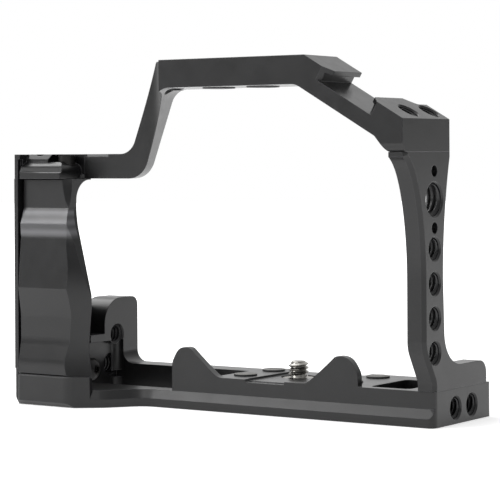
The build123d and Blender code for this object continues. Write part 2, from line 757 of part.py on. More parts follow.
def build_bridge():
    body = between(bridge_outer, bridge_front, column_head_rear)
    body -= between(bridge_bay, bridge_front - 1, column_head_rear + 1)
    # The bar is cut back behind the shoe; only the right block keeps the full depth.
    block_left = x_right - block_width
    rear = outline([
        (x_left - 1, bridge_rear),
        (block_left - 3.4, bridge_rear, 2.0),
        (block_left, bridge_rear + 4.0, 2.5),
        (block_left, column_head_rear + 1),
        (x_left - 1, column_head_rear + 1),
    ])
    body -= plan_shape(rear, bar_bottom - 1, bridge_top + 1)
    # The left bar and wall lie back from the front, behind a hollow cove.
    drop = bar_front - bridge_front
    cove_start = cove_x - (2 * cove_radius * drop - drop**2) ** 0.5
    turn = atan((cove_x - cove_start) / (cove_radius - drop)) / 2
    cove_middle = (cove_start + cove_radius * sin(turn), bar_front - cove_radius * (1 - cos(turn)))
    cove = make_face([
        ThreePointArc((cove_x, bridge_front), cove_middle, (cove_start, bar_front)),
        Line((cove_start, bar_front), (x_block_in + 1.5, bar_front)),
        ThreePointArc((x_block_in + 1.5, bar_front),
                      (x_block_in + 1.5 * (1 - sin(radians(45))), bar_front - 1.5 * (1 - sin(radians(45)))),
                      (x_block_in, bar_front - 1.5)),
        Line((x_block_in, bar_front - 1.5), (x_block_in, bridge_front - 1)),
        Line((x_block_in, bridge_front - 1), (cove_x, bridge_front - 1)),
        Line((cove_x, bridge_front - 1), (cove_x, bridge_front)),
    ])
    body -= plan_shape(cove, bar_bottom - 1, bridge_top + 1)
    # End block over the grip: slanting front, rounded nose and a stepped top.
    nose = outline([
        (x_left - 1, bridge_front - 1),
        (x_grip_in + 1, bridge_front - 1),
        (x_grip_in + 1, -toe_reach + 0.3),
        (x_left - 1, grip_corner_y + 0.3),
    ])
    body -= plan_shape(nose, bar_bottom - 1, column_top + 1)
    body -= end_block_step()
    body -= bridge_bevels()
    body -= shoe_cutter()
    body -= stop_screw_plane() * Cylinder(stop_screw_radius, 6.0, align=CENTRE_MIN)
    # Tapped holes: two through the slope, one down through the left shoulder.
    out = Vector(sin(radians(slope_angle)), 0, cos(radians(slope_angle)))
    hole_z = block_top + (x_right - block_hole_x) * slope
    for y in (block_hole_y, block_hole_y + block_hole_pitch):
        body -= tapped_hole(quarter_radius, block_hole_depth, (block_hole_x, y, hole_z), -out)
    body -= tapped_hole(quarter_radius, bridge_height + 5.5, (bridge_hole_x, bridge_hole_y, bridge_top), (0, 0, -1))
    # Slot for the column's tenon, its grub screws, and the grip's head screws.
    half = tenon_width / 2 + tenon_fit
    body -= block(column_screw_x - half, column_screw_x + half, tenon_front - tenon_fit,
                  tenon_rear + tenon_fit, column_top, column_top + tenon_height + tenon_fit)
    for y in grub_rows:
        body -= rod(m3_radius, 10.0, (column_screw_x - half, y, grub_z), (-1, 0, 0))
    for x in grip_screw_columns:
        body -= screw_room(m3_radius, head_screw_seat - bar_bottom, m3_head_radius,
                           column_top - head_screw_seat, (x, grip_screw_y, head_screw_seat), (0, 0, -1))
    return body


def end_block_step():
    """Cutters that round the nose of the end block and step its top edge back."""
    front, top = -toe_reach - 1, column_top
    nose_top = top - nose_drop
    ledge_y = nose_front + 3.2
    profile = outline([
        (front, nose_top - 3.4),
        (nose_front - 0.3, nose_top - 3.4, 1.0),
        (nose_front + 0.8, nose_top - 1.2, 2.0),
        (ledge_y, nose_top),
        (ledge_y, top - 1.5),
        (ledge_y + 1.5, top + 0.01),
        (front, top + 0.5),
    ])
    cut = side_shape(profile, x_grip_out, x_block_in + 1)
    # The nose runs on past the raised top and ends in a rounded shoulder.
    shoulder = outline([
        (x_block_in - 8.4, nose_top),
        (x_block_in - 7.4, top + 0.5),
        (x_block_in + 1, top + 0.5),
        (x_block_in + 1, nose_top - 4.0),
        (x_block_in, nose_top - 4.0),
        (x_block_in, nose_top, 3.6),
    ])
    cut += front_shape(shoulder, front, bar_front)
    # The strip beside the nose carries the line of the side plate upwards.
    cut += block(x_plate_in, x_grip_out, front, nose_front + 1.4, bar_bottom - 1, top - 1.5)
    return cut


def bridge_bevels():
    """Cutters for the rounded lower front edge of the right block and the bar's top bevel."""
    radius = 2.4
    y = bridge_front + radius
    corner = block(x_column - 6.0, x_right + 1, bridge_front - 1, y, column_top - 1, column_top + radius)
    corner -= rod(radius, far, (x_column - 7.0, y, column_top + radius), (1, 0, 0))
    bevel = outline([
        (bar_front - 0.5, column_top - 1.3),
        (bar_front + 1.0, column_top + 0.2),
        (bar_front - 0.5, column_top + 0.2),
    ])
    return corner + side_shape(bevel, x_block_in + 1.5, wall_outer_bottom - 13.0)


# ---- Camera screw and its clip ----

head_top = web_low
groove_low = web_high + screw_travel
groove_high = groove_low + clip_thickness


def build_camera_screw():
    body = rod(screw_head_radius, screw_head_height, (0, screw_y, head_top - screw_head_height), (0, 0, 1))
    body += rod(screw_neck_radius, groove_high + 0.1 - head_top, (0, screw_y, head_top), (0, 0, 1))
    thread_low = groove_high + 0.1
    body += rod(quarter_radius, screw_reach - thread_low, (0, screw_y, thread_low), (0, 0, 1))
    tip = body.edges().filter_by_position(Axis.Z, screw_reach - 0.01, screw_reach + 0.01)
    body = chamfer(tip, 0.6)
    slot = Box(far, screw_slot_width, screw_slot_depth, align=CENTRE_MIN)
    body -= Pos(0, screw_y, head_top - screw_head_height) * slot
    body -= clip_groove()
    return body


def clip_groove():
    """Ring cut in the neck for the clip."""
    ring = Cylinder(screw_neck_radius + 1, clip_thickness + 0.06, align=CENTRE_MIN)
    ring -= Cylinder(screw_neck_radius - 0.5, clip_thickness + 0.06, align=CENTRE_MIN)
    return Pos(0, screw_y, groove_low - 0.03) * ring


def build_clip():
    inner = screw_neck_radius - 0.5 + running_clearance
    ring = Circle(clip_radius) - Circle(inner)
    mouth = Pos(0, -clip_radius) * Rectangle(2 * inner * 0.86, 2 * clip_radius)
    clip = extrude(ring - mouth, clip_thickness)
    return Pos(0, screw_y, groove_low) * clip


# ---- Fasteners and pads ----

def group(solids):
    """Several separate solids of one kind, kept as one node."""
    return Compound(children=[solid for part in solids for solid in part.solids()])


def build_column_screws():
    return group([
        cap_screw(m25_radius, column_screw_length, m25_head_radius, m25_head_height,
                  (column_screw_x, y, column_screw_seat), (0, 0, 1))
        for y in column_screw_rows
    ])


def build_grub_screws():
    """Headless screws that hold the column's tenon in the bridge."""
    grub = Cylinder(m3_radius, grub_length, align=CENTRE_MIN)
    grub -= extrude(RegularPolygon(0.85, 6), 1.5)
    return group([Plane(origin=(grub_start, y, grub_z), z_dir=(1, 0, 0)) * grub for y in grub_rows])


def build_foot_screws():
    return group([
        cap_screw(m3_radius, foot_screw_length, m3_head_radius, m3_head_height,
                  (x, grip_screw_y, foot_screw_seat), (0, 0, 1))
        for x in grip_screw_columns
    ])


def build_head_screws():
    return group([
        cap_screw(m3_radius, head_screw_length, m3_head_radius, m3_head_height,
                  (x, grip_screw_y, head_screw_seat), (0, 0, -1))
        for x in grip_screw_columns
    ])


def build_dowels():
    return group([
        rod(dowel_radius, dowel_length, (x, grip_dowel_y, foot_height - dowel_length / 2), (0, 0, 1))
        for x in grip_screw_columns
    ])


def build_plate_screws():
    """Countersunk screws with a hexagon socket, flush with the side plate."""
    screws = []
    for z in plate_screw_heights:
        head = Cone(m3_head_radius - 0.05, m3_radius, plate_thickness - 0.1, align=CENTRE_MIN)
        shank = Cylinder(m3_radius, plate_thickness + plate_screw_length, align=CENTRE_MIN)
        socket = extrude(RegularPolygon(1.15, 6), 0.9)
        screws.append(Plane(origin=(x_left, plate_screw_y, z), z_dir=(1, 0, 0)) * (head + shank - socket))
    return group(screws)


def build_lug_screw():
    """Button-head screw through the lug's wall into the side plate."""
    head = Cylinder(m4_head_radius, m4_head_height, align=CENTRE_MIN)
    dome = Pos(0, 0, m4_head_height + m4_dome_rise - m4_dome_radius) * Sphere(m4_dome_radius)
    head = head & dome
    socket = Pos(0, 0, m4_head_height - 1.2) * extrude(RegularPolygon(1.45, 6), 2.0)
    shank = Rot(180, 0, 0) * Cylinder(m4_radius, door_left_wall + plate_thickness, align=CENTRE_MIN)
    return Plane(origin=(door_left, lug_screw_y, lug_screw_z), z_dir=(1, 0, 0)) * (head - socket + shank)


def build_base_pads():
    pads = []
    for x in (pad_left, pad_right):
        for y in (pad_front, pad_rear):
            pads.append(rod(pad_radius, pad_thickness, (x, y, land_height), (0, 0, 1)))
    return group(pads)


def build_bridge_pads():
    return group([
        rod(bridge_pad_radius, bridge_pad_thickness, (bridge_pad_middle + side * bridge_pad_spacing / 2, bridge_pad_y, underside),
            (0, 0, -1))
        for side in (-1, 1)
    ])


def build_stop_screw():
    """Small headless screw in the crest beside the cold shoe."""
    screw = Cylinder(stop_screw_radius, stop_screw_length, align=CENTRE_MIN)
    screw -= Pos(0, 0, stop_screw_length - 1.4) * extrude(RegularPolygon(0.6, 6), 2.0)
    return stop_screw_plane() * screw


NODES = {
    "base_plate": build_base,
    "top_bridge": build_bridge,
    "side_column": build_column,
    "hand_grip": build_grip,
    "grip_side_plate": build_side_plate,
    "camera_screw": build_camera_screw,
    "screw_retaining_clip": build_clip,
    "column_foot_screws": build_column_screws,
    "column_grub_screws": build_grub_screws,
    "grip_foot_screws": build_foot_screws,
    "grip_head_screws": build_head_screws,
    "grip_dowels": build_dowels,
    "side_plate_screws": build_plate_screws,
    "lug_button_screw": build_lug_screw,
    "shoe_stop_screw": build_stop_screw,
    "base_pads": build_base_pads,
    "bridge_pads": build_bridge_pads,
}

# The cage stands on its base: the origin is the middle of its box, at the bottom.
to_origin = Pos(-(x_left + x_right) / 2, -(base_depth + bridge_front) / 2, 0)

for name, build in NODES.items():
    piece = build()
    solids = [to_origin * solid for solid in piece.solids()]
    shape = solids[0] if len(solids) == 1 else Compound(children=solids)
    export_step(shape, f"parts/{name}.step")
    box = shape.bounding_box()
    print(name, len(solids), [round(v, 2) for v in (*box.min, *box.max)])
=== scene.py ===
"""Camera cage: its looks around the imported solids. Metres, Z up, the lens looks along -Y."""
import math
import bpy
import bmesh
from mathutils import Matrix, Vector


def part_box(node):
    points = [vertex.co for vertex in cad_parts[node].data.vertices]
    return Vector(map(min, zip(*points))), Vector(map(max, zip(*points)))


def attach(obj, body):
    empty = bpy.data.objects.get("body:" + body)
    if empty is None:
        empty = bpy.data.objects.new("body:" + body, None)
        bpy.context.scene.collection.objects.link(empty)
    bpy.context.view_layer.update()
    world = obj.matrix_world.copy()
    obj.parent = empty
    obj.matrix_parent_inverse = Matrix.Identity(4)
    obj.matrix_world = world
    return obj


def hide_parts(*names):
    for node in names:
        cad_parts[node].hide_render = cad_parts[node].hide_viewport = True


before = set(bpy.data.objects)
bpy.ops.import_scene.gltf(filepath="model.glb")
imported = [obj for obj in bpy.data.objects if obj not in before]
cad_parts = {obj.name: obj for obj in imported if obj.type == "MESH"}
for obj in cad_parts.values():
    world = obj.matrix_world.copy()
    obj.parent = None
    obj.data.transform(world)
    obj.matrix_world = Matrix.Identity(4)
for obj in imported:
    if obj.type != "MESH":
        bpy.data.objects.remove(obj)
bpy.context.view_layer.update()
MM = 0.001


# ---- Sizes of the threads and holes, in millimetres ----

QUARTER_RADIUS, QUARTER_PITCH = 3.175, 1.27           # 1/4 inch, 20 turns to the inch
EIGHTHS_RADIUS, EIGHTHS_PITCH = 4.7625, 1.5875        # 3/8 inch, 16 turns to the inch
MOUTH_CHAMFER = 0.45
COLUMN_FACE, COLUMN_THICKNESS = 71.85, 5.7
COLUMN_HOLE_Y = -7.7
COLUMN_QUARTER_Z = (21.65, 31.65, 41.65, 51.65)
COLUMN_EIGHTHS_Z = 65.9
END_HOLES = ((71.85, 4.5, 4.7), (71.85, 14.5, 4.7))
END_DEPTH = 9.0
LUG_UPPER, LUG_UPPER_DEPTH = (-60.75, 14.4, 19.7), 9.7
LUG_LOWER, LUG_LOWER_DEPTH = (-63.75, 14.4, 9.7), 6.7
SLOPE_HOLES = ((67.75, -15.2, 91.47), (67.75, -3.2, 91.47))
SLOPE_DEPTH = 6.0
SLOPE_IN = (-0.5, 0.0, -0.8660254)
CREST_HOLE, CREST_DEPTH = (-13.45, -17.3, 108.0), 9.9
HOLE_RUN_IN = 0.3                                     # share of a pitch between chamfer and thread
BLIND_END = 1.0                                       # a blind hole's last, unthreaded part
RIDGE_SINK = 0.04                                     # how deep a ridge's foot lies in the wall
RIDGE_HEIGHT = 0.56                                   # in pitches, inwards from the wall
TOOTH_TURN = math.pi / 2                              # turns the wide side of a tooth to the hole's wall
SCREW_AXIS = (12.45, 12.0)
SCREW_HEAD_LOW, SCREW_THREAD_LOW, SCREW_THREAD_LENGTH = 2.4, 9.75, 4.25
SCREW_ROOT = QUARTER_RADIUS - 0.6 * QUARTER_PITCH
SCREW_PROFILE = (                                     # radius and height, from the head's face to the tip
    (0, 2.4), (6.25, 2.4), (6.6, 2.75), (6.6, 5.05), (6.3, 5.4), (2.5, 5.4), (2.5, 8.97), (2.0, 8.97),
    (2.0, 9.63), (2.5, 9.63), (SCREW_ROOT, 9.75), (SCREW_ROOT, 14.25), (SCREW_ROOT - 0.35, 14.72),
    (SCREW_ROOT - 0.5, 14.8), (0, 14.8))
COIN_SLOT, COIN_SLOT_TURN = (15, 1.6, 2.6), 25        # length, width and twice the depth, and degrees
PAD_RIM = ((0, 0), (0, 0.5), (0.05, 0.78), (0.2, 0.95), (0.45, 1), (0.75, 1), (0.95, 0.86), (1.2, 0.86),
           (1.45, 0.97))                              # inset from the rim and share of the height
PAD_MIDDLE = 0.4                                      # share of the radius where the domed middle begins
FLOOR_RADIUS, FLOOR_DROP = 3.0, 0.0001                # metres
WAVE_FACTOR = 20      # a wave texture's bands are sin(20 * Scale * z): Scale 1 / (20 w) sets them 2 pi w apart


# ---- Nodes and materials ----

def colour(code):
    """An sRGB hex colour as linear RGBA."""
    parts = [int(code[i:i + 2], 16) / 255 for i in (1, 3, 5)]
    return [p / 12.92 if p <= 0.04045 else ((p + 0.055) / 1.055) ** 2.4 for p in parts] + [1.0]


def add(tree, kind, sockets=(), **settings):
    """Adds a node. Its properties come from settings, its inputs' values or feeding outputs from sockets."""
    made = tree.nodes.new(kind)
    for name, value in settings.items():
        setattr(made, name, value)
    for key, value in dict(sockets).items():
        if isinstance(value, bpy.types.NodeSocket):
            tree.links.new(value, made.inputs[key])
        else:
            made.inputs[key].default_value = value
    return made


def start_material(name):
    made = bpy.data.materials.new(name)
    made.use_nodes = True
    return made, made.node_tree, made.node_tree.nodes["Principled BSDF"]


def edge_share(tree, rounded):
    """1 along a sharp edge and 0 on a flat, from how far the rounded normal leans off the face's own."""
    flat = add(tree, "ShaderNodeNewGeometry")
    lean = add(tree, "ShaderNodeVectorMath", {0: rounded, 1: flat.outputs["Normal"]},
               operation="DOT_PRODUCT")
    return add(tree, "ShaderNodeMapRange", {"Value": lean.outputs["Value"], "From Min": 0.995, "From Max": 0.9,
                                            "To Min": 0.0, "To Max": 1.0}).outputs["Result"]


def blasted_anodised(name, skin, edge, shift, grit_mm=0.42, rough=0.31):
    """Black anodised aluminium that was bead blasted before it was dyed. The eye sees a matt charcoal skin
    with a very fine grain, slightly cloudy, silky and much lighter where light grazes it, and a narrow paler
    line along each sharp edge: partly wear, where the skin is thinnest, and partly a painted highlight of the
    light that the edges catch. Real grit is about 0.1 mm and would not show, so the grain is drawn at 0.3 to 0.4
    mm."""
    made, tree, shader = start_material(name)
    place = add(tree, "ShaderNodeMapping", {"Vector": add(tree, "ShaderNodeTexCoord").outputs["Object"],
                                            "Location": (shift, -shift, 0.7 * shift)}).outputs["Vector"]
    grit = add(tree, "ShaderNodeTexNoise", {"Vector": place, "Scale": 1 / (grit_mm * MM), "Detail": 3.0,
                                            "Roughness": 0.6})
    cloud = add(tree, "ShaderNodeTexNoise", {"Vector": place, "Scale": 1 / (17 * MM), "Detail": 4.0,
                                             "Roughness": 0.55})
    smear = add(tree, "ShaderNodeTexNoise", {"Vector": place, "Scale": 1 / (4.5 * MM), "Detail": 5.0,
                                             "Distortion": 0.6})
    both = add(tree, "ShaderNodeMix", {0: 0.38, 2: cloud.outputs["Fac"], 3: grit.outputs["Fac"]})
    dark, pale = ([share * c for c in colour(skin)[:3]] + [1] for share in (0.80, 1.22))
    ramp = add(tree, "ShaderNodeMapRange", {"Value": both.outputs[0], "From Min": 0.36, "From Max": 0.64})
    skin_colour = add(tree, "ShaderNodeMix", {0: ramp.outputs["Result"], 6: dark, 7: pale}, data_type="RGBA")
    rounded = add(tree, "ShaderNodeBevel", {"Radius": 0.28 * MM}, samples=6).outputs["Normal"]
    # paler edge line: partly wear where the skin is thinnest, partly a painted highlight along each sharp edge
    pale_edge_share = add(tree, "ShaderNodeMath", {0: edge_share(tree, rounded), 1: smear.outputs["Fac"]},
               operation="MULTIPLY")
    edge_wear_and_highlight = add(tree, "ShaderNodeMix", {0: pale_edge_share.outputs[0], 6: skin_colour.outputs[2], 7: colour(edge)},
               data_type="RGBA")
    tree.links.new(edge_wear_and_highlight.outputs[2], shader.inputs["Base Color"])
    silk = add(tree, "ShaderNodeMapRange", {"Value": smear.outputs["Fac"], "From Min": 0.3, "From Max": 0.7,
                                            "To Min": rough - 0.02, "To Max": rough + 0.03})
    tree.links.new(silk.outputs["Result"], shader.inputs["Roughness"])
    grain = add(tree, "ShaderNodeBump", {"Height": grit.outputs["Fac"], "Strength": 0.12, "Distance": 0.05 * MM,
                                         "Normal": rounded})
    tree.links.new(grain.outputs["Normal"], shader.inputs["Normal"])
    shader.inputs["IOR"].default_value = 1.5
    return made


def milled_band_painted_highlight(made, low_mm, high_mm, front_mm, wave_mm=0.5):
    """On an anodised skin, the band that a ball cutter left between two heights: level lines that were not
    blasted away, drawn as bumps, and a painted highlight: the band's colour is painted much lighter, for the
    light that the lines spread up and down. Real lines of 0.2 mm would not show, so a few soft ones are drawn
    3.1 mm apart, 2 pi times wave_mm."""
    tree = made.node_tree
    shader = tree.nodes["Principled BSDF"]
    place = add(tree, "ShaderNodeTexCoord").outputs["Object"]
    spot = add(tree, "ShaderNodeSeparateXYZ", {0: place})
    rise = add(tree, "ShaderNodeMapRange", {"Value": spot.outputs["Z"], "From Min": (low_mm - 0.6) * MM,
                                            "From Max": (low_mm + 0.6) * MM})
    fall = add(tree, "ShaderNodeMapRange", {"Value": spot.outputs["Z"], "From Min": high_mm * MM,
                                            "From Max": (high_mm - 1.2) * MM})
    front = add(tree, "ShaderNodeMath", {0: spot.outputs["Y"], 1: front_mm * MM}, operation="LESS_THAN")
    between = add(tree, "ShaderNodeMath", {0: rise.outputs["Result"], 1: fall.outputs["Result"]},
                  operation="MULTIPLY")
    share = add(tree, "ShaderNodeMath", {0: between.outputs[0], 1: front.outputs[0]},
                operation="MULTIPLY").outputs[0]
    lines = add(tree, "ShaderNodeTexWave", {"Vector": place, "Scale": 1 / (wave_mm * MM * WAVE_FACTOR),
                                            "Distortion": 0.4, "Detail": 1.0},
                wave_type="BANDS", bands_direction="Z")
    # painted highlight: the band's colour is painted lighter, in soft level bands
    tone = add(tree, "ShaderNodeMix", {0: lines.outputs["Fac"], 6: colour("#4a4a4c"), 7: colour("#6c6c6f")},
               data_type="RGBA")
    skin = shader.inputs["Base Color"].links[0].from_socket
    painted_highlight_colour = add(tree, "ShaderNodeMix", {0: share, 6: skin, 7: tone.outputs[2]}, data_type="RGBA")
    tree.links.new(painted_highlight_colour.outputs[2], shader.inputs["Base Color"])
    depth = add(tree, "ShaderNodeMath", {0: lines.outputs["Fac"], 1: share}, operation="MULTIPLY").outputs[0]
    cut = add(tree, "ShaderNodeBump", {"Height": depth, "Strength": 0.5, "Distance": 0.05 * MM,
                                       "Normal": shader.inputs["Normal"].links[0].from_socket})
    tree.links.new(cut.outputs["Normal"], shader.inputs["Normal"])


def turned_steel(name, pale, dark, rough, wave_mm=0.16):
    """Bright steel, turned on a lathe: grey-white metal with rings round the axis, and darker in patches,
    where cutting oil has dried. Rings of 0.05 mm would not show, so they are drawn 1 mm apart, 2 pi times
    wave_mm."""
    made, tree, shader = start_material(name)
    place = add(tree, "ShaderNodeTexCoord").outputs["Object"]
    rings = add(tree, "ShaderNodeTexWave", {"Vector": place, "Scale": 1 / (wave_mm * MM * WAVE_FACTOR),
                                            "Distortion": 1.5, "Detail": 2.0},
                wave_type="BANDS", bands_direction="Z")
    stain = add(tree, "ShaderNodeTexNoise", {"Vector": place, "Scale": 1 / (1.6 * MM), "Detail": 4.0})
    tone = add(tree, "ShaderNodeMix", {0: stain.outputs["Fac"], 6: colour(dark), 7: colour(pale)}, data_type="RGBA")
    tree.links.new(tone.outputs[2], shader.inputs["Base Color"])
    silk = add(tree, "ShaderNodeMapRange", {"Value": stain.outputs["Fac"], "From Min": 0.3, "From Max": 0.7,
                                            "To Min": rough + 0.1, "To Max": rough - 0.04})
    tree.links.new(silk.outputs["Result"], shader.inputs["Roughness"])
    bump = add(tree, "ShaderNodeBump", {"Height": rings.outputs["Fac"], "Strength": 0.15, "Distance": 0.02 * MM})
    tree.links.new(bump.outputs["Normal"], shader.inputs["Normal"])
    shader.inputs["Metallic"].default_value = 1.0
    return made


def oiled_oxide(name, skin, edge, shift):
    """Black oxide on a steel screw, wiped with oil: nearly black, a little brown, with an uneven soft gloss
    and grey metal coming through on the edges of head and socket."""
    made, tree, shader = start_material(name)
    place = add(tree, "ShaderNodeMapping", {"Vector": add(tree, "ShaderNodeTexCoord").outputs["Object"],
                                            "Location": (shift, shift, shift)}).outputs["Vector"]
    film = add(tree, "ShaderNodeTexNoise", {"Vector": place, "Scale": 1 / (1.3 * MM), "Detail": 4.0,
                                            "Roughness": 0.6})
    rounded = add(tree, "ShaderNodeBevel", {"Radius": 0.14 * MM}, samples=6).outputs["Normal"]
    pale_edge_share = add(tree, "ShaderNodeMath", {0: edge_share(tree, rounded), 1: film.outputs["Fac"]},
               operation="MULTIPLY")
    tone = add(tree, "ShaderNodeMix", {0: pale_edge_share.outputs[0], 6: colour(skin), 7: colour(edge)}, data_type="RGBA")
    tree.links.new(tone.outputs[2], shader.inputs["Base Color"])
    silk = add(tree, "ShaderNodeMapRange", {"Value": film.outputs["Fac"], "From Min": 0.3, "From Max": 0.7,
                                            "To Min": 0.28, "To Max": 0.46})
    tree.links.new(silk.outputs["Result"], shader.inputs["Roughness"])
    pits = add(tree, "ShaderNodeBump", {"Height": film.outputs["Fac"], "Strength": 0.1, "Distance": 0.03 * MM,
                                        "Normal": rounded})
    tree.links.new(pits.outputs["Normal"], shader.inputs["Normal"])
    shader.inputs["Metallic"].default_value = 0.55
    return made


def moulded_rubber(name, skin, dust_and_reflection):
    """Moulded silicone rubber pad: dark grey and dull, with an uneven pale bloom on its upward faces, which is
    part dusty film and part painted reflection, and a faint moulded orange-peel texture of about half a millimetre."""
    made, tree, shader = start_material(name)
    place = add(tree, "ShaderNodeTexCoord").outputs["Object"]
    peel = add(tree, "ShaderNodeTexNoise", {"Vector": place, "Scale": 1 / (0.5 * MM), "Detail": 2.0})
    bloom = add(tree, "ShaderNodeTexNoise", {"Vector": place, "Scale": 1 / (3.2 * MM), "Detail": 5.0,
                                             "Roughness": 0.6})
    # pale on upward faces: part dusty film, part a painted reflection
    up = add(tree, "ShaderNodeSeparateXYZ", {0: add(tree, "ShaderNodeNewGeometry").outputs["Normal"]})
    level = add(tree, "ShaderNodeMapRange", {"Value": up.outputs["Z"], "From Min": 0.3, "From Max": 0.9})
    bloom_patches = add(tree, "ShaderNodeMapRange", {"Value": bloom.outputs["Fac"], "From Min": 0.3, "From Max": 0.7,
                                            "To Min": 0.35, "To Max": 0.9})
    share = add(tree, "ShaderNodeMath", {0: level.outputs["Result"], 1: bloom_patches.outputs["Result"]},
                operation="MULTIPLY")
    tone = add(tree, "ShaderNodeMix", {0: share.outputs[0], 6: colour(skin), 7: colour(dust_and_reflection)}, data_type="RGBA")
    tree.links.new(tone.outputs[2], shader.inputs["Base Color"])
    dull = add(tree, "ShaderNodeMapRange", {"Value": bloom.outputs["Fac"], "From Min": 0.3, "From Max": 0.7,
                                            "To Min": 0.5, "To Max": 0.7})
    tree.links.new(dull.outputs["Result"], shader.inputs["Roughness"])
    bump = add(tree, "ShaderNodeBump", {"Height": peel.outputs["Fac"], "Strength": 0.2, "Distance": 0.04 * MM})
    tree.links.new(bump.outputs["Normal"], shader.inputs["Normal"])
    shader.inputs["IOR"].default_value = 1.43
    return made


def spring_strip(name):
    """Spring steel strip: straw-grey metal, brushed one way before it was bent."""
    made, tree, shader = start_material(name)
    place = add(tree, "ShaderNodeMapping", {"Vector": add(tree, "ShaderNodeTexCoord").outputs["Object"],
                                            "Scale": (1.0, 6.0, 1.0)}).outputs["Vector"]
    brushed = add(tree, "ShaderNodeTexNoise", {"Vector": place, "Scale": 1 / (1.2 * MM), "Detail": 4.0})
    tone = add(tree, "ShaderNodeMix", {0: brushed.outputs["Fac"], 6: colour("#6d6a66"), 7: colour("#a19c94")},
               data_type="RGBA")
    tree.links.new(tone.outputs[2], shader.inputs["Base Color"])
    silk = add(tree, "ShaderNodeMapRange", {"Value": brushed.outputs["Fac"], "To Min": 0.24, "To Max": 0.4})
    tree.links.new(silk.outputs["Result"], shader.inputs["Roughness"])
    bump = add(tree, "ShaderNodeBump", {"Height": brushed.outputs["Fac"], "Strength": 0.1, "Distance": 0.02 * MM})
    tree.links.new(bump.outputs["Normal"], shader.inputs["Normal"])
    shader.inputs["Metallic"].default_value = 1.0
    return made


BASE_SKIN = blasted_anodised("anodised_base", "#171718", "#5a5a5e", 0.0)
# painted shade: the bridge gets darker skin and edge colours than the other parts, so it reads as in shadow
SHADED_BRIDGE_SKIN = blasted_anodised("anodised_bridge_painted_shade", "#0f0f10", "#505054", 0.31)
COLUMN_SKIN = blasted_anodised("anodised_column", "#171718", "#5a5a5e", 0.57)
GRIP_SKIN = blasted_anodised("anodised_grip", "#171718", "#58585c", 0.83)
# painted highlight on the grip's front, between 53.4 and 62.6 mm high
milled_band_painted_highlight(GRIP_SKIN, 53.4, 62.6, -20.0)
PLATE_SKIN = blasted_anodised("anodised_side_plate", "#151516", "#545458", 1.13)
THREAD_SKIN = blasted_anodised("anodised_threads", "#1a1a1b", "#66666a", 1.37, grit_mm=0.3, rough=0.32)
SCREW_STEEL = turned_steel("turned_steel", "#b9b7b3", "#77756f", 0.28)
DOWEL_STEEL = turned_steel("ground_steel", "#c2c0bb", "#9a9894", 0.2)
FOOT_OXIDE = oiled_oxide("oxide_foot_screws", "#1d1c1c", "#6a6764", 0.0)
GRIP_OXIDE = oiled_oxide("oxide_grip_screws", "#1e1d1c", "#6a6764", 0.4)
SMALL_OXIDE = oiled_oxide("oxide_small_screws", "#1c1b1b", "#635f5c", 0.9)
BUTTON_OXIDE = oiled_oxide("oxide_button_screw", "#2a2929", "#7a7672", 1.3)
CLIP_STRIP = spring_strip("spring_strip")
PAD_RUBBER = moulded_rubber("moulded_rubber", "#29292a", "#8d8c89")


# ---- Small mesh helpers ----

def new_piece(name, mesh, body, slot, *replaced):
    """A finished mesh as an object that rides on a body."""
    piece = bpy.data.objects.new(name, mesh)
    bpy.context.scene.collection.objects.link(piece)
    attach(piece, body)
    if replaced:
        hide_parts(*replaced)


def lathe(bm, profile, centre, steps=72):
    """Adds the closed solid that a profile of (radius, height) in mm makes when turned round Z at centre."""
    rings = []
    for radius, height in profile:
        if radius == 0:
            rings.append([bm.verts.new((centre[0] * MM, centre[1] * MM, height * MM))])
            continue
        rings.append([bm.verts.new(((centre[0] + radius * math.cos(2 * math.pi * i / steps)) * MM,
                                    (centre[1] + radius * math.sin(2 * math.pi * i / steps)) * MM, height * MM))
                      for i in range(steps)])
    for low, high in zip(rings, rings[1:]):
        for i in range(steps):
            j = (i + 1) % steps
            if len(low) == 1:
                bm.faces.new((low[0], high[j], high[i]))
            elif len(high) == 1:
                bm.faces.new((low[i], low[j], high[0]))
            else:
                bm.faces.new((low[i], low[j], high[j], high[i]))


def mesh_from(bm, name, material, smooth_under=35):
    bmesh.ops.recalc_face_normals(bm, faces=bm.faces)
    mesh = bpy.data.meshes.new(name)
    bm.to_mesh(mesh)
    bm.free()
    mesh.materials.append(material)
    mesh.shade_smooth()
    mesh.set_sharp_from_angle(angle=math.radians(smooth_under))
    return mesh


# ---- Threads ----

